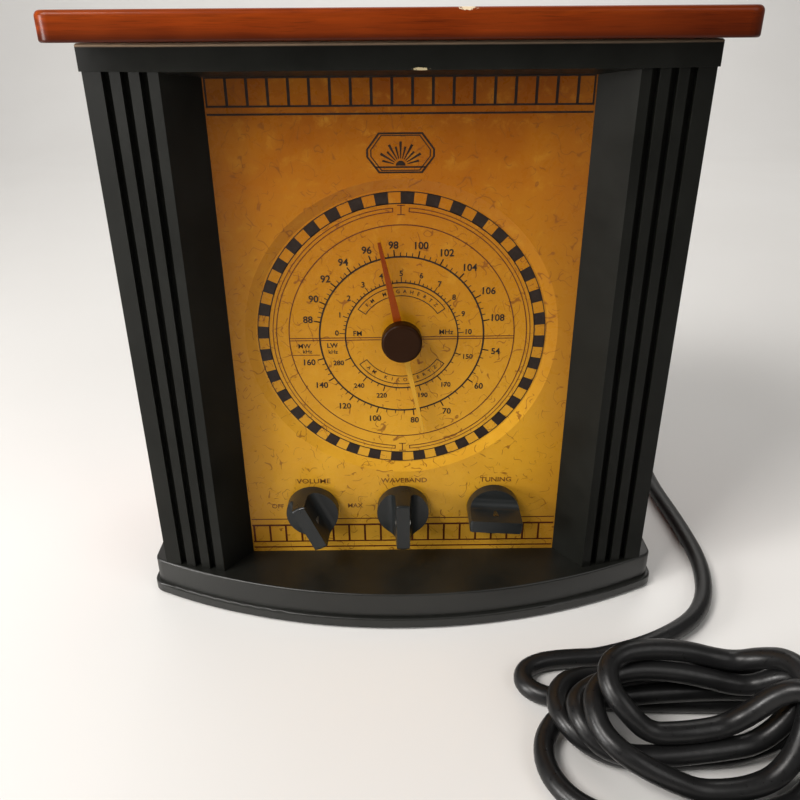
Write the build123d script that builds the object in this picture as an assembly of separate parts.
from build123d import *
import os
from math import asin, atan2, cos, pi, radians, sin, sqrt, tan

# A mains table radio: wood cabinet, black front frame on a bow-front plinth, printed dial panel,
# turning needle and three bar knobs. Millimetres. +X is the viewer's right, +Y the back, +Z up.
# Z = 0 is the table; X = Y = 0 is the middle of the radio's own box, without its mains cord.

# Overall layout
DEPTH = 130.2
PANEL_FACE_Y = -34.9          # front face of the dial panel
FRONT_FWD = 30.2              # the plinth's rim stands this far in front of the panel face
REAR_Y = DEPTH / 2
FOOT_HEIGHT = 1.2
TIER_Z = 5.3                  # between the plinth's rim and its upper tier
BASE_TOP_Z = 16.0
DIAL_Z = 110.3                # height of the needle's axis
KNOB_Z = 37.8                 # height of the three control axes
OPENING_TOP_Z = 198.1
BOARD_BOTTOM_Z = 208.5
BOARD_THICKNESS = 8.5
FIT = 0.2                     # plain assembly clearance
RUNNING = 0.05                # radial clearance of a shaft in its bush
SCREW_RADIUS = 1.5
SCREW_HOLE = 1.8

# Plinth
PLINTH_HALF = 102.0
RIM = 1.6                     # the rim stands proud of the upper tier by this much
BOW_RADIUS = 225.0
PLINTH_WALL = 3.0
BASE_PLATE = 2.0
CORNER_RADIUS = 5.0
EDGE_ROUND = 0.8

# Front frame
OPENING_HALF = 62.0
SPLAY_HALF = 71.6             # the splayed reveal ends here, at the front edge of the pillar
SPLAY_FWD = 13.1
FRAME_HALF = 96.5
TURN_BACK = radians(14.0)     # the fluted face turns back from the front edge
RIB_WIDTH = 3.4
GROOVE_WIDTH = 2.8
GROOVE_DEPTH = 2.5
GROOVES = 3
FRAME_WALL = 2.4
HEADER_PROUD = 0.6
HEADER_BOTTOM_Z = 200.4
HEADER_TOP_Z = 208.2
HEADER_EDGE = 0.5
SHADOW_GAP_INSET = 4.5

# Wood cabinet
SIDE_THICKNESS = 7.0
SIDE_OUTER = 96.0
SIDE_INNER = SIDE_OUTER - SIDE_THICKNESS
SIDE_REAR_Y = 63.0
BOARD_HALF = 104.0
BOARD_FWD = 19.6
BATTEN = 10.0

# Dial panel and the plate behind it
PANEL_THICKNESS = 1.2
PANEL_HALF = SIDE_INNER - FIT
PANEL_TOP_Z = 206.0
RECESS_RADIUS = 56.5
RECESS_FLOOR_RADIUS = 52.8
RECESS_DEPTH = 1.2
PANEL_REAR_Y = PANEL_FACE_Y + PANEL_THICKNESS
PLATE_FRONT_Y = PANEL_REAR_Y + RECESS_DEPTH
PLATE_THICKNESS = 2.4
PLATE_REAR_Y = PLATE_FRONT_Y + PLATE_THICKNESS
BUSH_RADIUS = 3.9
BUSH_HOLE_RADIUS = 4.0

# Shafts, needle and cord drive
SHAFT_RADIUS = 3.0
PRESSED = 0.02                # radial clearance of a part pressed on its shaft
NEEDLE_TILT = 12.0            # degrees the needle's long arm leans to the left at rest
NEEDLE_BACK_FWD = 1.2
NEEDLE_THICKNESS = 0.8
NEEDLE_UPPER = (36.3, 3.3, 1.1)   # length, width at the hub and width at the tip
NEEDLE_LOWER = (38.4, 2.4, 0.9)
HUB_RADIUS = 7.3
HUB_FRONT_FWD = 6.6
HUB_ROUND = 1.2
HUB_BORE_FWD = 4.6            # the shaft's blind hole ends here
COLLAR_RADIUS = 4.95
DRUM_RADIUS = 22.0            # of the cord's centreline
DRUM_FLANGE_RADIUS = 23.6
DRUM_WIDTH = 6.0
SPINDLE_CORD_RADIUS = 3.0
CORD_Y = PLATE_REAR_Y + 5.1
DIAL_CORD_RADIUS = 0.4
CORD_CLEARANCE = 0.3
GROOVE_HALF = 1.2

# Knobs
KNOB_RADIUS = 10.25
KNOB_BACK_FWD = 1.0
KNOB_HEIGHT = 15.0
KNOB_SKIRT = 4.5
BAR_HALF = 3.0
BAR_TOP_HALF = 2.5
SCALLOP = 3.6
VOLUME_X, BAND_X, TUNING_X = -36.0, 0.0, 36.0
VOLUME_TILT, BAND_TILT, TUNING_TILT = -24.0, 0.0, 94.0   # degrees clockwise from upright
NUT_FLAT = 11.0
NUT_THICKNESS = 2.0

# Rear cover, speaker and mains entry
COVER_THICKNESS = 3.0
COVER_REAR_Y = 62.0
COVER_FRONT_Y = COVER_REAR_Y - COVER_THICKNESS
SPEAKER_Z = 122.0
SPEAKER_RADIUS = 38.5
GRILLE_RADIUS = 31.0
SLOT_HEIGHT = 2.2
SLOT_PITCH = 4.4
VENT_LEFTS = (-48, 12)
VENT_LENGTH = 36
VENT_Z = 44
VENT_PITCH = 6
TOP_VENT_Z = 174
ENTRY_X, ENTRY_Z = 60.0, 26.0
RELIEF_END_Y = 84.0

# Mains cord, round, two cores of 0.75 square millimetres
CORD_RADIUS = 3.4
FLOOR_Z = 3.5
CORD_ROUTE = [
    (ENTRY_X, RELIEF_END_Y, ENTRY_Z),
    (ENTRY_X, 101, ENTRY_Z),
    (65, 119, 20.5),
    (77, 134, 12),
    (94, 142, 5.5),
    (113, 139, FLOOR_Z),
    (127, 125, FLOOR_Z),
    (132, 103, FLOOR_Z),
    (130, 73, FLOOR_Z),
    (125, 37, FLOOR_Z),
    (128, -1, FLOOR_Z),
    (128, -34, FLOOR_Z),
    (118, -61, FLOOR_Z),
    (96, -77, FLOOR_Z + 1),
]
COIL_CENTRE = (88.0, -116.0)
COIL_HALF_LENGTH = 51.0
COIL_HALF_WIDTH = 39.0
COIL_HEIGHT = 20.0
PLUG_ORIGIN = (128.0, -137.0)  # where the cord enters the plug
PLUG_HEADING = -72.0           # degrees from +X, seen from above
PLUG_LENGTH = 36.0
PLUG_PIN_RADIUS = 2.0
PLUG_PIN_LENGTH = 19.0
PLUG_PIN_SPACING = 19.0
LEAD_RADIUS = 0.8              # of the thin leads inside the cabinet


def fwd(distance):
    """The Y of a place this far in front of the dial panel's face."""
    return PANEL_FACE_Y - distance


def block(x0, x1, y0, y1, z0, z1):
    """A box between two corners."""
    centre = Pos((x0 + x1) / 2, (y0 + y1) / 2, (z0 + z1) / 2)
    return centre * Box(x1 - x0, y1 - y0, z1 - z0)


def rod(x, z, y0, y1, radius):
    """A cylinder along Y."""
    return Pos(x, (y0 + y1) / 2, z) * Rot(90, 0, 0) * Cylinder(radius, abs(y1 - y0))


def post(x, y, z0, z1, radius):
    """A cylinder along Z."""
    return Pos(x, y, (z0 + z1) / 2) * Cylinder(radius, z1 - z0)


def bar_x(y, z, x0, x1, radius):
    """A cylinder along X."""
    return Pos((x0 + x1) / 2, y, z) * Rot(0, 90, 0) * Cylinder(radius, x1 - x0)


def prism(points, z0, z1):
    """A plan outline of (x, y) points, raised from z0 to z1."""
    return Pos(0, 0, z0) * extrude(make_face(Polyline(*points, close=True)), z1 - z0)


def turned(x, z, profile):
    """A round part about an axis along Y, from (radius, y) points."""
    face = make_face(Polyline(*[(r, y, 0) for r, y in profile], close=True))
    return Pos(x, 0, z) * revolve(face, Axis.Y)


def all_of(shapes):
    """Separate solids kept together as one node."""
    return Compound([solid for shape in shapes for solid in shape.solids()])


def bow_plan(half, radius, front_y, rear_y, z0, z1):
    """A block whose front bows out on an arc and whose sides and back are straight."""
    side_y = front_y + radius - sqrt(radius**2 - half**2)
    sides = Polyline((half, side_y), (half, rear_y), (-half, rear_y), (-half, side_y))
    front = ThreePointArc((-half, side_y), (0, front_y), (half, side_y))
    return Pos(0, 0, z0) * extrude(make_face(sides + front), z1 - z0)


# Cabinet ------------------------------------------------------------------------------------


def base_plinth():
    rim_half = PLINTH_HALF + RIM
    inner = PLINTH_HALF - PLINTH_WALL
    rim = bow_plan(rim_half, BOW_RADIUS + RIM, fwd(FRONT_FWD), REAR_Y, FOOT_HEIGHT, TIER_Z)
    rim = fillet(rim.edges().filter_by(Axis.Z), CORNER_RADIUS + RIM)
    rim = fillet(rim.edges().group_by(Axis.Z)[-1], EDGE_ROUND)
    front = fwd(FRONT_FWD - RIM)
    tier = bow_plan(PLINTH_HALF, BOW_RADIUS, front, REAR_Y - RIM, TIER_Z, BASE_TOP_Z)
    tier = fillet(tier.edges().filter_by(Axis.Z), CORNER_RADIUS)
    tier = fillet(tier.edges().group_by(Axis.Z)[-1], EDGE_ROUND)
    pocket_top = BASE_TOP_Z - PLINTH_WALL
    pocket_front = front + PLINTH_WALL
    pocket_rear = REAR_Y - RIM - PLINTH_WALL
    radius = BOW_RADIUS - PLINTH_WALL
    pocket = bow_plan(inner, radius, pocket_front, pocket_rear, FOOT_HEIGHT, pocket_top)
    body = rim + tier - pocket
    for x, y in base_screw_places():
        boss = post(x, y, FOOT_HEIGHT + BASE_PLATE, pocket_top, 4.5)
        body = body + boss - post(x, y, FOOT_HEIGHT, pocket_top - 1, SCREW_RADIUS + PRESSED)
    return body


def base_screw_places():
    return [(side * 78, y) for side in (-1, 1) for y in (-14, 40)]


def foot_places():
    return [(-86, 50), (86, 50), (-66, -36), (66, -36)]


def bottom_plate():
    half = PLINTH_HALF - PLINTH_WALL - FIT
    front = fwd(FRONT_FWD - RIM) + PLINTH_WALL + FIT
    rear = REAR_Y - RIM - PLINTH_WALL - FIT
    radius = BOW_RADIUS - PLINTH_WALL - FIT
    plate = bow_plan(half, radius, front, rear, FOOT_HEIGHT, FOOT_HEIGHT + BASE_PLATE)
    for x, y in base_screw_places():
        plate -= post(x, y, FOOT_HEIGHT, FOOT_HEIGHT + BASE_PLATE, SCREW_HOLE)
        plate -= post(x, y, FOOT_HEIGHT, FOOT_HEIGHT + 1.2, 3.4)
    return plate


def base_screws():
    screws = []
    for x, y in base_screw_places():
        head = post(x, y, FOOT_HEIGHT + 0.1, FOOT_HEIGHT + 1.2, 3.0)
        screws.append(head + post(x, y, FOOT_HEIGHT + 1.2, 11.0, SCREW_RADIUS))
    return all_of(screws)


def rubber_feet():
    feet = []
    for x, y in foot_places():
        foot = post(x, y, 0, FOOT_HEIGHT, 7)
        feet.append(chamfer(foot.edges().group_by(Axis.Z)[0], 0.4))
    return all_of(feet)


def side_panel(side):
    low, high = sorted((side * SIDE_INNER, side * SIDE_OUTER))
    return block(low, high, PANEL_FACE_Y, SIDE_REAR_Y, BASE_TOP_Z, BOARD_BOTTOM_Z)


def top_board():
    top = BOARD_BOTTOM_Z + BOARD_THICKNESS
    board = block(-BOARD_HALF, BOARD_HALF, fwd(BOARD_FWD), REAR_Y, BOARD_BOTTOM_Z, top)
    board = fillet(board.edges().filter_by(Axis.Z), CORNER_RADIUS)
    board = fillet(board.edges().group_by(Axis.Z)[-1], 1.8)
    return fillet(board.edges().group_by(Axis.Z)[0], EDGE_ROUND)


def corner_battens():
    inner = SIDE_INNER - BATTEN
    battens = []
    for x0, x1 in ((-SIDE_INNER, -inner), (inner, SIDE_INNER)):
        for y0 in (PLATE_REAR_Y, COVER_FRONT_Y - BATTEN):
            batten = block(x0, x1, y0, y0 + BATTEN, BASE_TOP_Z, BOARD_BOTTOM_Z)
            battens.append(batten)
    for x, z in cover_screw_places():
        hole = rod(x, z, COVER_FRONT_Y - 9, COVER_FRONT_Y, SCREW_RADIUS + PRESSED)
        battens = [batten - hole for batten in battens]
    for x, z in plate_screw_places():
        hole = rod(x, z, PLATE_REAR_Y, PLATE_REAR_Y + 8, SCREW_RADIUS + PRESSED)
        battens = [batten - hole for batten in battens]
    return all_of(battens)


def front_frame():
    turn = tan(TURN_BACK)

    def face_fwd(x):
        return SPLAY_FWD - (x - SPLAY_HALF) * turn

    outline = [
        (OPENING_HALF, fwd(0)),
        (SPLAY_HALF, fwd(SPLAY_FWD)),
        (FRAME_HALF, fwd(face_fwd(FRAME_HALF))),
        (FRAME_HALF, fwd(0)),
    ]
    wall_behind = GROOVE_DEPTH + FRAME_WALL
    slope = (SPLAY_HALF - OPENING_HALF) / SPLAY_FWD
    near = OPENING_HALF + FRAME_WALL * sqrt(1 + slope**2)
    deep = SPLAY_FWD - wall_behind - 0.5
    far = FRAME_HALF - FRAME_WALL
    hollow = [
        (near, fwd(0)),
        (near + slope * deep, fwd(deep)),
        (far, fwd(face_fwd(far) - wall_behind)),
        (far, fwd(0)),
    ]
    pillar = prism(outline, BASE_TOP_Z, HEADER_BOTTOM_Z)
    pillar -= prism(hollow, BASE_TOP_Z + FRAME_WALL, HEADER_BOTTOM_Z - FRAME_WALL)
    for number in range(GROOVES):
        x = SPLAY_HALF + RIB_WIDTH + number * (RIB_WIDTH + GROOVE_WIDTH)
        front = face_fwd(x)
        floor = front - GROOVE_DEPTH
        outer = x + GROOVE_WIDTH
        groove = [
            (x, fwd(front + 1)),
            (x + 0.3, fwd(floor)),
            (outer - 0.3, fwd(floor - turn * GROOVE_WIDTH)),
            (outer, fwd(face_fwd(outer) + 1)),
        ]
        pillar -= prism(groove, BASE_TOP_Z, HEADER_BOTTOM_Z)

    half = FRAME_HALF + HEADER_PROUD
    bend = SPLAY_HALF + HEADER_PROUD
    front = SPLAY_FWD + HEADER_PROUD
    side = front - (half - bend) * turn

    def header_plan(inset):
        corners = [(bend, front - inset), (half - inset, side - inset), (half - inset, 0)]
        right = [(x, fwd(y)) for x, y in corners]
        return [(-x, y) for x, y in reversed(right)] + right

    header = prism(header_plan(0), HEADER_BOTTOM_Z, HEADER_TOP_Z)
    header = chamfer(header.edges().group_by(Axis.Z)[-1].filter_by_position(
        Axis.Y, -200, PANEL_FACE_Y - 1), HEADER_EDGE)
    tongue = prism(header_plan(SHADOW_GAP_INSET), HEADER_TOP_Z, BOARD_BOTTOM_Z)
    soffit_face = make_face(Polyline(
        (-bend, fwd(0), OPENING_TOP_Z),
        (-bend, fwd(0), HEADER_BOTTOM_Z),
        (-bend, fwd(front), HEADER_BOTTOM_Z),
        close=True))
    soffit = extrude(soffit_face, 2 * bend, dir=(1, 0, 0))
    under = block(-bend, bend, fwd(front - 2), fwd(3), HEADER_BOTTOM_Z + 2, HEADER_TOP_Z - 2)
    return header + tongue + soffit + pillar + mirror(pillar, Plane.YZ) - under


# Dial and controls --------------------------------------------------------------------------


def control_places():
    return [(VOLUME_X, KNOB_Z), (BAND_X, KNOB_Z), (TUNING_X, KNOB_Z)]


def plate_screw_places():
    return [(side * 84, z) for side in (-1, 1) for z in (28, 110, 196)]


def dial_panel():
    panel = block(-PANEL_HALF, PANEL_HALF, PANEL_FACE_Y, PANEL_REAR_Y, BASE_TOP_Z, PANEL_TOP_Z)
    wall = RECESS_RADIUS - RECESS_FLOOR_RADIUS
    back = RECESS_RADIUS + 0.9
    panel += turned(0, DIAL_Z, [
        (0, PANEL_REAR_Y), (back, PANEL_REAR_Y), (back - wall, PLATE_FRONT_Y), (0, PLATE_FRONT_Y)])
    floor_y = PANEL_FACE_Y + RECESS_DEPTH
    panel -= turned(0, DIAL_Z, [
        (0, PANEL_FACE_Y - 1), (RECESS_RADIUS + wall / RECESS_DEPTH, PANEL_FACE_Y - 1),
        (RECESS_FLOOR_RADIUS, floor_y), (0, floor_y)])
    panel -= rod(0, DIAL_Z, PANEL_FACE_Y - 1, PLATE_FRONT_Y, BUSH_HOLE_RADIUS)
    for x, z in control_places():
        panel -= rod(x, z, PANEL_FACE_Y - 1, PANEL_REAR_Y + 1, BUSH_HOLE_RADIUS)
    return panel


def chassis_plate():
    plate = block(-PANEL_HALF, PANEL_HALF, PLATE_FRONT_Y, PLATE_REAR_Y, BASE_TOP_Z, PANEL_TOP_Z)
    for x, z in control_places() + [(0, DIAL_Z)]:
        plate -= rod(x, z, PLATE_FRONT_Y, PLATE_REAR_Y, BUSH_HOLE_RADIUS)
    for x, z in plate_screw_places():
        plate -= rod(x, z, PLATE_FRONT_Y, PLATE_REAR_Y, SCREW_HOLE)
    for x, z in gang_screw_places():
        plate -= rod(x, z, PLATE_FRONT_Y, PLATE_REAR_Y, SCREW_RADIUS + PRESSED)
    return plate


def chassis_screws():
    screws = []
    for x, z in plate_screw_places():
        head = rod(x, z, PLATE_FRONT_Y - 1.1, PLATE_FRONT_Y, 3.0)
        screws.append(head + rod(x, z, PLATE_FRONT_Y, PLATE_REAR_Y + 7, SCREW_RADIUS))
    for x, z in gang_screw_places():
        head = rod(x, z, PLATE_REAR_Y + 1.2, PLATE_REAR_Y + 3.0, 2.6)
        screws.append(head + rod(x, z, PLATE_FRONT_Y + 0.2, PLATE_REAR_Y + 1.2, SCREW_RADIUS))
    return all_of(screws)


def needle_arm(size, angle):
    """A tapered flat arm on the needle's axis; angle is clockwise from upright."""
    length, root, tip = size
    face = make_face(Polyline(
        (-root / 2, 0), (root / 2, 0), (tip / 2, length), (-tip / 2, length), close=True))
    arm = Rot(90, 0, 0) * extrude(face, NEEDLE_THICKNESS)
    arm = Rot(0, angle, 0) * arm
    return Pos(0, fwd(NEEDLE_BACK_FWD), DIAL_Z) * arm - hub_core()


def hub_core():
    return rod(0, DIAL_Z, fwd(NEEDLE_BACK_FWD - 1), fwd(NEEDLE_BACK_FWD + 2), 5.0)


def pointer_hub():
    rear = fwd(NEEDLE_BACK_FWD + NEEDLE_THICKNESS)
    cap = rod(0, DIAL_Z, fwd(HUB_FRONT_FWD), rear, HUB_RADIUS)
    cap = fillet(cap.edges().group_by(Axis.Y)[0], HUB_ROUND)
    collar = rod(0, DIAL_Z, rear, fwd(0.2), COLLAR_RADIUS)
    return cap + collar - rod(0, DIAL_Z, fwd(HUB_BORE_FWD), fwd(-1), SHAFT_RADIUS + PRESSED)


def pointer_shaft():
    return rod(0, DIAL_Z, fwd(HUB_BORE_FWD - 0.2), gang_front_y() + 5, SHAFT_RADIUS)


def dial_drum():
    y0 = CORD_Y - DRUM_WIDTH / 2
    y1 = CORD_Y + DRUM_WIDTH / 2
    bottom = DRUM_RADIUS - DIAL_CORD_RADIUS - CORD_CLEARANCE
    bore = SHAFT_RADIUS + PRESSED
    web = 1.2
    drum = turned(0, DIAL_Z, [
        (bore, y0), (DRUM_FLANGE_RADIUS, y0), (DRUM_FLANGE_RADIUS, CORD_Y - GROOVE_HALF),
        (bottom, CORD_Y - GROOVE_HALF), (bottom, CORD_Y + GROOVE_HALF),
        (DRUM_FLANGE_RADIUS, CORD_Y + GROOVE_HALF), (DRUM_FLANGE_RADIUS, y1),
        (bottom - 2, y1), (bottom - 2, y0 + web), (7, y0 + web), (7, y1), (bore, y1)])
    for number in range(6):
        angle = radians(number * 60)
        x, z = 13.5 * sin(angle), DIAL_Z + 13.5 * cos(angle)
        drum -= rod(x, z, y0, y0 + web, 3.5)
    return drum


def gang_front_y():
    return CORD_Y + DRUM_WIDTH / 2 + 2.5


def gang_screw_places():
    return [(side * 33.5, DIAL_Z) for side in (-1, 1)]


def gang_bracket():
    y = gang_front_y()
    bridge = block(-28.2, 28.2, y - 1.2, y, DIAL_Z - 12, DIAL_Z + 12)
    bridge -= rod(0, DIAL_Z, y - 1.2, y, 5.1)
    for side in (-1, 1):
        low, high = sorted((side * 27.0, side * 28.2))
        bridge += block(low, high, PLATE_REAR_Y, y, DIAL_Z - 12, DIAL_Z + 12)
        low, high = sorted((side * 27.0, side * 38.0))
        foot = block(low, high, PLATE_REAR_Y, PLATE_REAR_Y + 1.2, DIAL_Z - 12, DIAL_Z + 12)
        bridge += foot - rod(side * 33.5, DIAL_Z, PLATE_REAR_Y, PLATE_REAR_Y + 1.2, SCREW_HOLE)
    return bridge


def tuning_gang():
    y = gang_front_y()
    body = block(-15, 15, y, y + 20, DIAL_Z - 15, DIAL_Z + 15)
    body = chamfer(body.edges().filter_by(Axis.Y), 1.5)
    body += rod(0, DIAL_Z, y - 2.2, y, 5.0)
    body -= rod(0, DIAL_Z, y - 2.2, y + 6, SHAFT_RADIUS + RUNNING)
    for x in (-9, -3, 3, 9):
        body += block(x - 1, x + 1, y + 6, y + 6.6, DIAL_Z - 19, DIAL_Z - 15)
    for x, z in ((-8, 8), (8, 8), (-8, -8), (8, -8)):
        body += rod(x, DIAL_Z + z, y + 20, y + 21.5, 2.2)
    return body


def knob(x, tilt):
    """A bar knob: a round skirt with a full-width bar, scalloped on both sides."""
    top = KNOB_HEIGHT
    half = make_face(
        Polyline((0, 0), (KNOB_RADIUS + 1, 0), (KNOB_RADIUS + 1, KNOB_SKIRT),
                 (BAR_HALF + SCALLOP, KNOB_SKIRT))
        + RadiusArc((BAR_HALF + SCALLOP, KNOB_SKIRT), (BAR_HALF, KNOB_SKIRT + SCALLOP), SCALLOP)
        + Polyline((BAR_HALF, KNOB_SKIRT + SCALLOP), (BAR_TOP_HALF, top), (0, top), (0, 0)))
    profile = half + mirror(half, Plane.YZ)
    bar = extrude(Plane.XY * profile, KNOB_RADIUS + 1, both=True)
    disc = Rot(-90, 0, 0) * Pos(0, 0, top / 2) * Cylinder(KNOB_RADIUS, top)
    disc = fillet(disc.edges().group_by(Axis.Y)[-1], 1.0)
    disc = chamfer(disc.edges().group_by(Axis.Y)[0], 0.3)
    body = bar & disc
    body = Rot(180, 0, 0) * body
    body = Pos(x, fwd(KNOB_BACK_FWD), KNOB_Z) * Rot(0, tilt, 0) * body
    body -= rod(x, KNOB_Z, fwd(KNOB_BACK_FWD - 1), fwd(KNOB_BACK_FWD + 2.6), 7.4)
    return body - rod(x, KNOB_Z, fwd(KNOB_BACK_FWD), fwd(12.2), SHAFT_RADIUS + PRESSED)


def control_shaft(x, rear_y):
    return rod(x, KNOB_Z, fwd(12), rear_y, SHAFT_RADIUS)


def bushing(x):
    bush = rod(x, KNOB_Z, fwd(2.4), PLATE_REAR_Y, BUSH_RADIUS)
    return chamfer(bush.edges().group_by(Axis.Y)[0], 0.3)


def volume_pot():
    body = bushing(VOLUME_X)
    body += rod(VOLUME_X, KNOB_Z, PLATE_REAR_Y, PLATE_REAR_Y + 8, 8.5)
    body += rod(VOLUME_X, KNOB_Z, PLATE_REAR_Y + 8, PLATE_REAR_Y + 16, 7.8)
    for step in (-5, 0, 5):
        x = VOLUME_X + step
        tag_y = PLATE_REAR_Y + 2
        body += block(x - 0.9, x + 0.9, tag_y, tag_y + 0.6, KNOB_Z - 13, KNOB_Z - 6)
    return body - rod(VOLUME_X, KNOB_Z, fwd(2.4), PLATE_REAR_Y + 5, SHAFT_RADIUS + RUNNING)


def band_switch():
    body = bushing(BAND_X)
    body += rod(BAND_X, KNOB_Z, PLATE_REAR_Y, PLATE_REAR_Y + 3, 9.0)
    body += rod(BAND_X, KNOB_Z, PLATE_REAR_Y + 3, PLATE_REAR_Y + 8, 11.5)
    for number in range(12):
        angle = radians(15 + number * 30)
        x = BAND_X + 10.2 * sin(angle)
        z = KNOB_Z + 10.2 * cos(angle)
        body += rod(x, z, PLATE_REAR_Y + 8, PLATE_REAR_Y + 11, 0.7)
    return body - rod(BAND_X, KNOB_Z, fwd(2.4), PLATE_REAR_Y + 5, SHAFT_RADIUS + RUNNING)


def tuning_bushing():
    body = bushing(TUNING_X)
    body += rod(TUNING_X, KNOB_Z, PLATE_REAR_Y, PLATE_REAR_Y + 2, 6.5)
    return body - rod(TUNING_X, KNOB_Z, fwd(2.4), PLATE_REAR_Y + 2, SHAFT_RADIUS + RUNNING)


def tuning_spindle():
    spindle = control_shaft(TUNING_X, CORD_Y + 5)
    waist = SPINDLE_CORD_RADIUS - DIAL_CORD_RADIUS - CORD_CLEARANCE
    ring = rod(TUNING_X, KNOB_Z, CORD_Y - GROOVE_HALF, CORD_Y + GROOVE_HALF, SHAFT_RADIUS + 1)
    ring -= rod(TUNING_X, KNOB_Z, CORD_Y - GROOVE_HALF, CORD_Y + GROOVE_HALF, waist)
    clip = rod(TUNING_X, KNOB_Z, PLATE_REAR_Y + 2.2, PLATE_REAR_Y + 3.0, 4.6)
    return spindle - ring + clip


def control_nuts():
    nuts = []
    for x, z in control_places():
        blank = extrude(RegularPolygon(NUT_FLAT / 2, 6, major_radius=False), NUT_THICKNESS)
        nut = Pos(x, fwd(0), z) * Rot(90, 0, 0) * blank
        nuts.append(nut - rod(x, z, fwd(0), fwd(NUT_THICKNESS), BUSH_RADIUS + RUNNING))
    return all_of(nuts)


def dial_cord():
    """The drive cord: round the drum and the spindle, with two straight tangent runs."""
    dx, dz = TUNING_X, KNOB_Z - DIAL_Z
    span = sqrt(dx**2 + dz**2)
    lean = asin((DRUM_RADIUS - SPINDLE_CORD_RADIUS) / span)
    along = atan2(dz, dx)
    right = along + radians(90) - lean
    left = along - radians(90) + lean

    def at(centre, radius, angle):
        return Vector(centre[0] + radius * cos(angle), CORD_Y, centre[1] + radius * sin(angle))

    drum, spindle = (0, DIAL_Z), (TUNING_X, KNOB_Z)
    over = ThreePointArc(
        at(drum, DRUM_RADIUS, left), at(drum, DRUM_RADIUS, along + radians(180)),
        at(drum, DRUM_RADIUS, right))
    under = ThreePointArc(
        at(spindle, SPINDLE_CORD_RADIUS, right), at(spindle, SPINDLE_CORD_RADIUS, along),
        at(spindle, SPINDLE_CORD_RADIUS, left))
    down = Line(over @ 1, under @ 0)
    back = Line(under @ 1, over @ 0)
    section = Plane(down @ 0.5, z_dir=down % 0.5) * Circle(DIAL_CORD_RADIUS)
    first = Line(down @ 0.5, down @ 1)
    last = Line(down @ 0, down @ 0.5)
    loop = Wire([first, under, back, over, last])
    return sweep(section, path=loop)


# Electronics --------------------------------------------------------------------------------

PCB = (-62.0, 30.0, -6.0, 48.0, 24.0, 25.6)


def main_pcb():
    board = block(*PCB)
    for x, y in standoff_places():
        board -= post(x, y, PCB[4], PCB[5], 1.6)
    return board


def standoff_places():
    return [(x, y) for x in (PCB[0] + 5, PCB[1] - 5) for y in (PCB[2] + 5, PCB[3] - 5)]


def pcb_standoffs():
    posts = []
    for x, y in standoff_places():
        screw_hole = post(x, y, BASE_TOP_Z, PCB[4], 1.5)
        posts.append(post(x, y, BASE_TOP_Z, PCB[4], 3.5) - screw_hole)
    return all_of(posts)


def if_cans():
    cans = []
    for x, y in ((-48, 12), (-32, 12), (-16, 12)):
        can = block(x - 5, x + 5, y - 5, y + 5, PCB[5], PCB[5] + 13)
        can = fillet(can.edges().group_by(Axis.Z)[-1], 0.8)
        cans.append(can - post(x, y, PCB[5] + 10, PCB[5] + 13, 2.0))
    return all_of(cans)


def electrolytic_capacitors():
    cans = []
    sizes = ((18, 34, 6.5, 21), (3, 34, 5, 16), (-10, 36, 4, 12), (18, 18, 5, 16))
    for x, y, radius, height in sizes:
        can = post(x, y, PCB[5], PCB[5] + height, radius)
        cans.append(fillet(can.edges().group_by(Axis.Z)[-1], 0.8))
    return all_of(cans)


def audio_ic():
    chip = block(-46, -26, 27, 34, PCB[5] + 1, PCB[5] + 4.5)
    for number in range(8):
        x = -44.9 + number * 2.54
        for y0, y1 in ((26, 27), (34, 35)):
            chip += block(x - 0.3, x + 0.3, y0, y1, PCB[5], PCB[5] + 2.5)
    return chip


def ic_heatsink():
    sink = block(-46, -26, 27, 34, PCB[5] + 4.5, PCB[5] + 6)
    for number in range(6):
        x = -46 + number * 3.7
        sink += block(x, x + 1.4, 27, 34, PCB[5] + 6, PCB[5] + 14)
    return sink


def film_resistors():
    parts = []
    for number in range(7):
        x = -54 + number * 6
        body = Pos(x, 0.5, PCB[5] + 1.4) * Rot(90, 0, 0) * Cylinder(1.2, 6.5)
        legs = block(x - 0.3, x + 0.3, -4.3, 5.3, PCB[5] + 1.1, PCB[5] + 1.7)
        feet = block(x - 0.3, x + 0.3, -4.3, -3.7, PCB[5], PCB[5] + 1.2)
        feet += block(x - 0.3, x + 0.3, 4.7, 5.3, PCB[5], PCB[5] + 1.2)
        parts.append(body + legs + feet)
    return all_of(parts)


TRANSFORMER_X = 60.0
STACK = (14.0, 30.0)


def transformer_core():
    x, z = TRANSFORMER_X, BASE_TOP_Z + 1.2
    core = block(x - 20, x + 20, *STACK, z, z + 34)
    for side in (-1, 1):
        low, high = sorted((x + side * 6.7, x + side * 13.3))
        core -= block(low, high, *STACK, z + 7, z + 27)
    return core


def transformer_winding():
    x, z = TRANSFORMER_X, BASE_TOP_Z + 1.2
    winding = block(x - 13.1, x + 13.1, STACK[0] - 7, STACK[1] + 7, z + 7.2, z + 26.8)
    winding = fillet(winding.edges().filter_by(Axis.Z), 4)
    return winding - block(x - 6.8, x + 6.8, STACK[0] - 0.1, STACK[1] + 0.1, z + 7, z + 27)


def transformer_bracket():
    x, z = TRANSFORMER_X, BASE_TOP_Z
    y0, y1 = STACK[0] + 2, STACK[1] - 2
    strap = block(x - 27, x + 27, y0, y1, z, z + 1.2)
    for side in (-1, 1):
        low, high = sorted((x + side * 20.1, x + side * 21.3))
        strap += block(low, high, y0, y1, z, z + 22)
        strap -= post(x + side * 24.2, (y0 + y1) / 2, z, z + 1.2, SCREW_HOLE)
    return strap


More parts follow.
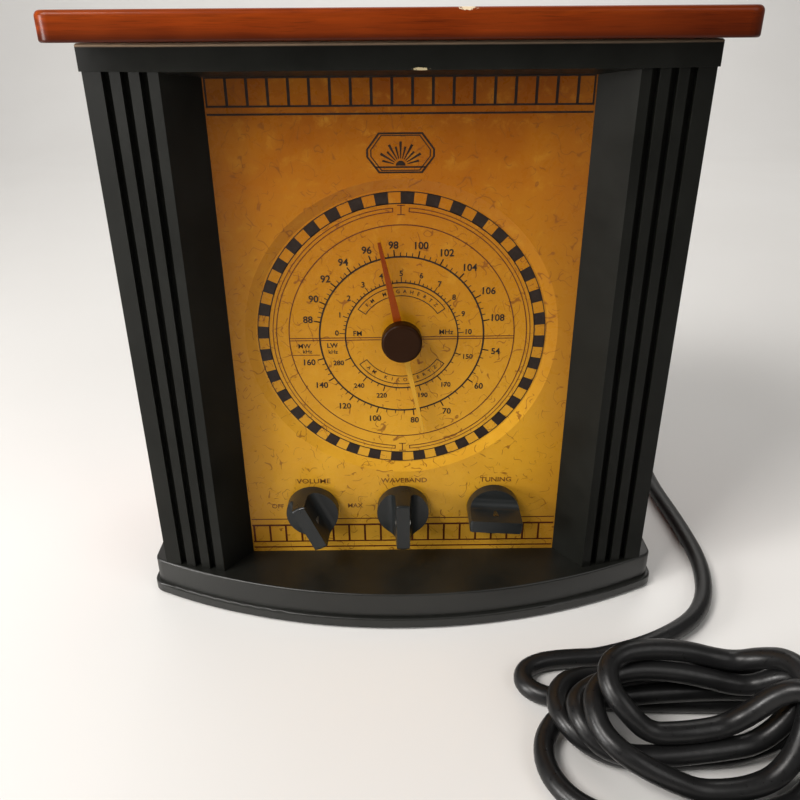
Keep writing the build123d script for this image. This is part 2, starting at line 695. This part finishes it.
def transformer_screws():
    screws = []
    for side in (-1, 1):
        x, y = TRANSFORMER_X + side * 24.2, sum(STACK) / 2
        screws.append(
            post(x, y, BASE_TOP_Z + 0.05, BASE_TOP_Z + 1.2, SCREW_RADIUS)
            + post(x, y, BASE_TOP_Z + 1.2, BASE_TOP_Z + 3.0, 2.7))
    return all_of(screws)


AERIAL_Y, AERIAL_Z = 6.0, 192.0


def ferrite_rod():
    return bar_x(AERIAL_Y, AERIAL_Z, -55, 55, 4.5)


def aerial_coil(x0, x1, radius):
    coil = bar_x(AERIAL_Y, AERIAL_Z, x0, x1, radius)
    for x in (x0, x1 - 1.2):
        coil += bar_x(AERIAL_Y, AERIAL_Z, x, x + 1.2, radius + 1.0)
    return coil - bar_x(AERIAL_Y, AERIAL_Z, x0 - 1, x1 + 1, 4.5 + RUNNING)


def rod_holders():
    holders = []
    for x in (-44, 44):
        holder = block(x - 3, x + 3, AERIAL_Y - 8, AERIAL_Y + 8, AERIAL_Z - 8, BOARD_BOTTOM_Z)
        foot_z = BOARD_BOTTOM_Z - 3
        holder += block(x - 3, x + 3, AERIAL_Y - 12, AERIAL_Y + 12, foot_z, BOARD_BOTTOM_Z)
        holders.append(holder - bar_x(AERIAL_Y, AERIAL_Z, x - 3, x + 3, 4.5 + RUNNING))
    return all_of(holders)


# Speaker and rear cover ---------------------------------------------------------------------


def speaker_screw_places():
    ring = SPEAKER_RADIUS - 2.5
    angles = [radians(a) for a in (45, 135, 225, 315)]
    return [(ring * cos(a), SPEAKER_Z + ring * sin(a)) for a in angles]


def speaker_gasket():
    y = COVER_FRONT_Y
    ring = rod(0, SPEAKER_Z, y - 0.8, y, SPEAKER_RADIUS) - rod(0, SPEAKER_Z, y - 0.8, y, 32.5)
    for x, z in speaker_screw_places():
        ring -= rod(x, z, y - 0.8, y, 1.7)
    return ring


def speaker_basket():
    y = COVER_FRONT_Y - 0.8
    basket = turned(0, SPEAKER_Z, [
        (12.5, y - 17), (21, y - 17), (33, y - 6), (33.5, y - 1.2), (SPEAKER_RADIUS, y - 1.2),
        (SPEAKER_RADIUS, y), (32.5, y), (32.0, y - 5.5), (20.4, y - 16), (12.5, y - 16)])
    windows = [block(-6, 6, y - 15, y - 7, SPEAKER_Z - 34, SPEAKER_Z + 34)]
    windows.append(block(-34, 34, y - 15, y - 7, SPEAKER_Z - 6, SPEAKER_Z + 6))
    for window in windows:
        basket = basket - window
    for x, z in speaker_screw_places():
        basket = basket - rod(x, z, y - 1.2, y, 1.7)
    return basket


def speaker_magnet():
    y = COVER_FRONT_Y - 0.8 - 17
    magnet = rod(0, SPEAKER_Z, y - 9, y, 22.5)
    plate = rod(0, SPEAKER_Z, y - 11, y - 9, 20)
    return chamfer(magnet.edges().filter_by(GeomType.CIRCLE), 0.5) + plate


def speaker_cone():
    y = COVER_FRONT_Y - 0.8
    return turned(0, SPEAKER_Z, [
        (32.3, y - 0.4), (32.3, y - 1.0), (29.5, y - 1.0), (9.0, y - 13.5), (0, y - 10.5),
        (0, y - 10.0), (9.3, y - 12.7), (28.9, y - 0.4)])


def speaker_screws():
    screws = []
    y = COVER_FRONT_Y
    for x, z in speaker_screw_places():
        screws.append(rod(x, z, y - 3.6, y - 2.0, 2.3) + rod(x, z, y - 2.0, y + 1.8, SCREW_RADIUS))
    return all_of(screws)


def cover_screw_places():
    return [(side * 84, z) for side in (-1, 1) for z in (28, 112, 196)]


def rear_cover():
    half = SIDE_INNER - FIT
    low, high = BASE_TOP_Z + FIT, BOARD_BOTTOM_Z - FIT
    cover = block(-half, half, COVER_FRONT_Y, COVER_REAR_Y, low, high)
    cover = chamfer(cover.edges().group_by(Axis.Y)[-1], 0.6)
    rows = int(GRILLE_RADIUS // SLOT_PITCH)
    slots = []
    for row in range(-rows, rows + 1):
        reach = sqrt(GRILLE_RADIUS**2 - (row * SLOT_PITCH)**2)
        slots.append((-reach, reach, SPEAKER_Z + row * SLOT_PITCH - SLOT_HEIGHT / 2))
    for left in VENT_LEFTS:
        slots += [(left, left + VENT_LENGTH, VENT_Z + row * VENT_PITCH) for row in range(5)]
    slots += [(-30, 30, TOP_VENT_Z + row * VENT_PITCH) for row in range(4)]
    for x0, x1, z in slots:
        cover -= block(x0, x1, COVER_FRONT_Y, COVER_REAR_Y, z, z + SLOT_HEIGHT)
    for x, z in cover_screw_places():
        cover -= rod(x, z, COVER_FRONT_Y, COVER_REAR_Y, SCREW_HOLE)
    for x, z in speaker_screw_places():
        cover -= rod(x, z, COVER_FRONT_Y, COVER_FRONT_Y + 2, SCREW_RADIUS + PRESSED)
    return cover - rod(ENTRY_X, ENTRY_Z, COVER_FRONT_Y, COVER_REAR_Y, 6.0)


def grille_cloth():
    """Thin acoustic cloth between the slots and the speaker."""
    return rod(0, SPEAKER_Z, COVER_FRONT_Y - 0.3, COVER_FRONT_Y, 32.3)


def rear_cover_screws():
    screws = []
    for x, z in cover_screw_places():
        head = rod(x, z, COVER_REAR_Y, COVER_REAR_Y + 1.6, 3.2)
        head = fillet(head.edges().group_by(Axis.Y)[-1], 0.8)
        head -= block(x - 2.2, x + 2.2, COVER_REAR_Y + 0.8, COVER_REAR_Y + 2, z - 0.4, z + 0.4)
        head -= block(x - 0.4, x + 0.4, COVER_REAR_Y + 0.8, COVER_REAR_Y + 2, z - 2.2, z + 2.2)
        screws.append(head + rod(x, z, COVER_FRONT_Y - 8, COVER_REAR_Y, SCREW_RADIUS))
    return all_of(screws)


# Mains entry, cord and plug -----------------------------------------------------------------


def strain_relief():
    taper_start = COVER_REAR_Y + 2
    relief = rod(ENTRY_X, ENTRY_Z, COVER_FRONT_Y, COVER_REAR_Y, 6.0 - RUNNING)
    relief += rod(ENTRY_X, ENTRY_Z, COVER_FRONT_Y - 2, COVER_FRONT_Y, 7.2)
    flange = rod(ENTRY_X, ENTRY_Z, COVER_REAR_Y, taper_start, 8.5)
    relief += fillet(flange.edges().group_by(Axis.Y)[-1], 0.8)
    relief += turned(ENTRY_X, ENTRY_Z, [
        (0, taper_start), (5.6, taper_start), (4.4, RELIEF_END_Y), (0, RELIEF_END_Y)])
    for number in range(5):
        y = taper_start + 3 + number * 3.3
        groove = rod(ENTRY_X, ENTRY_Z, y, y + 1.3, 7.5) - rod(ENTRY_X, ENTRY_Z, y, y + 1.3, 3.9)
        low = ENTRY_Z + (2 if number % 2 else -8)
        relief -= groove & block(ENTRY_X - 8, ENTRY_X + 8, y, y + 1.3, low, low + 6)
    return relief


def tube_path(points):
    """Straight runs joined by tangent arcs, each as large as its two runs allow."""
    corners = [Vector(*point) for point in points]
    runs = [b - a for a, b in zip(corners, corners[1:])]
    radii = []
    for before, after in zip(runs, runs[1:]):
        half_turn = radians(before.get_angle(after)) / 2
        radii.append(0.45 * min(before.length, after.length) / tan(half_turn))
    return FilletPolyline(*corners, radius=radii), radii, [run.length for run in runs]


def tube(path, radius):
    return sweep(Plane(path @ 0, z_dir=path % 0) * Circle(radius), path=path)


def mains_cord():
    path, radii, runs = tube_path(CORD_ROUTE)
    cord = tube(path, CORD_RADIUS)
    print("cord runs", [round(run) for run in runs])
    print("cord radii", [round(radius) for radius in radii])
    full = pi * CORD_RADIUS**2 * path.length
    print("cord length", round(path.length, 1), "volume ratio", round(cord.volume / full, 4))
    return cord


def mains_cord_coil():
    """The outer shape of the loosely bunched part of the cord."""
    coil = extrude(Ellipse(COIL_HALF_LENGTH, COIL_HALF_WIDTH), COIL_HEIGHT)
    coil = fillet(coil.edges().group_by(Axis.Z)[-1], 7)
    return Pos(*COIL_CENTRE, 0) * coil


def plug_frame():
    return Pos(*PLUG_ORIGIN, 0) * Rot(0, 0, PLUG_HEADING)


def mains_plug():
    """A flat two-pin plug with a tapered neck, lying on the table."""
    outline = make_face(Polyline(
        (0, -4.5), (9, -6), (17, -9), (20, -13.5), (22, -17), (PLUG_LENGTH, -17),
        (PLUG_LENGTH, 17), (22, 17), (20, 13.5), (17, 9), (9, 6), (0, 4.5), close=True))
    body = Pos(0, 0, 0.1) * extrude(outline, 13.8)
    body = fillet(body.edges().group_by(Axis.Z)[-1], 2.5)
    body = fillet(body.edges().group_by(Axis.Z)[0], 2.5)
    return plug_frame() * body


def plug_pins():
    pins = []
    for side in (-1, 1):
        y = side * PLUG_PIN_SPACING / 2
        pin = Pos(PLUG_LENGTH + PLUG_PIN_LENGTH / 2, y, 7) * Rot(0, 90, 0) * Cylinder(
            PLUG_PIN_RADIUS, PLUG_PIN_LENGTH)
        pins.append(fillet(pin.edges().group_by(Axis.X)[-1], 1.2))
    return all_of([plug_frame() * pin for pin in pins])


# Internal leads -----------------------------------------------------------------------------


def speaker_leads():
    leads = []
    for shift in (0.0, 3.0):
        route = [(14, 6, 26.4), (14, 8, 60), (8, 16, 92), (4, 26, 96)]
        route = [(x + shift, y, z) for x, y, z in route]
        leads.append(tube(tube_path(route)[0], LEAD_RADIUS))
    return all_of(leads)


def power_leads():
    leads = []
    for shift in (0.0, 4.0):
        entry_x = ENTRY_X - 2
        mains = [(entry_x, COVER_FRONT_Y - 2, ENTRY_Z), (entry_x, 51, ENTRY_Z),
                 (58.5, 46, 34), (58, 38.4, 38)]
        mains = [(x + shift, y, z) for x, y, z in mains]
        supply = [(56, 5.8, 38), (50, 0, 36), (38, -3, 32), (28, -2, 26.8)]
        supply = [(x - shift, y, z) for x, y, z in supply]
        leads += [tube(tube_path(route)[0], LEAD_RADIUS) for route in (mains, supply)]
    return all_of(leads)


PARTS = {
    "base_plinth": base_plinth(),
    "bottom_plate": bottom_plate(),
    "base_screws": base_screws(),
    "rubber_feet": rubber_feet(),
    "side_panel_left": side_panel(-1),
    "side_panel_right": side_panel(1),
    "top_board": top_board(),
    "corner_battens": corner_battens(),
    "front_frame": front_frame(),
    "dial_panel": dial_panel(),
    "chassis_plate": chassis_plate(),
    "chassis_screws": chassis_screws(),
    "pointer_upper": needle_arm(NEEDLE_UPPER, -NEEDLE_TILT),
    "pointer_lower": needle_arm(NEEDLE_LOWER, 180 - NEEDLE_TILT),
    "pointer_hub": pointer_hub(),
    "pointer_shaft": pointer_shaft(),
    "dial_drum": dial_drum(),
    "dial_cord": dial_cord(),
    "gang_bracket": gang_bracket(),
    "tuning_gang": tuning_gang(),
    "volume_knob": knob(VOLUME_X, VOLUME_TILT),
    "volume_shaft": control_shaft(VOLUME_X, PLATE_REAR_Y + 4),
    "volume_pot": volume_pot(),
    "band_knob": knob(BAND_X, BAND_TILT),
    "band_shaft": control_shaft(BAND_X, PLATE_REAR_Y + 4),
    "band_switch": band_switch(),
    "tuning_knob": knob(TUNING_X, TUNING_TILT),
    "tuning_spindle": tuning_spindle(),
    "tuning_bushing": tuning_bushing(),
    "control_nuts": control_nuts(),
    "main_pcb": main_pcb(),
    "pcb_standoffs": pcb_standoffs(),
    "if_cans": if_cans(),
    "electrolytic_capacitors": electrolytic_capacitors(),
    "audio_ic": audio_ic(),
    "ic_heatsink": ic_heatsink(),
    "film_resistors": film_resistors(),
    "transformer_core": transformer_core(),
    "transformer_winding": transformer_winding(),
    "transformer_bracket": transformer_bracket(),
    "transformer_screws": transformer_screws(),
    "ferrite_rod": ferrite_rod(),
    "aerial_coil_mw": aerial_coil(-32, -8, 6.0),
    "aerial_coil_lw": aerial_coil(8, 36, 6.6),
    "rod_holders": rod_holders(),
    "speaker_gasket": speaker_gasket(),
    "speaker_basket": speaker_basket(),
    "speaker_magnet": speaker_magnet(),
    "speaker_cone": speaker_cone(),
    "speaker_screws": speaker_screws(),
    "grille_cloth": grille_cloth(),
    "rear_cover": rear_cover(),
    "rear_cover_screws": rear_cover_screws(),
    "strain_relief": strain_relief(),
    "mains_cord": mains_cord(),
    "mains_cord_coil": mains_cord_coil(),
    "mains_plug": mains_plug(),
    "plug_pins": plug_pins(),
    "speaker_leads": speaker_leads(),
    "power_leads": power_leads(),
}

os.makedirs("parts", exist_ok=True)
for name, shape in PARTS.items():
    export_step(shape, f"parts/{name}.step")
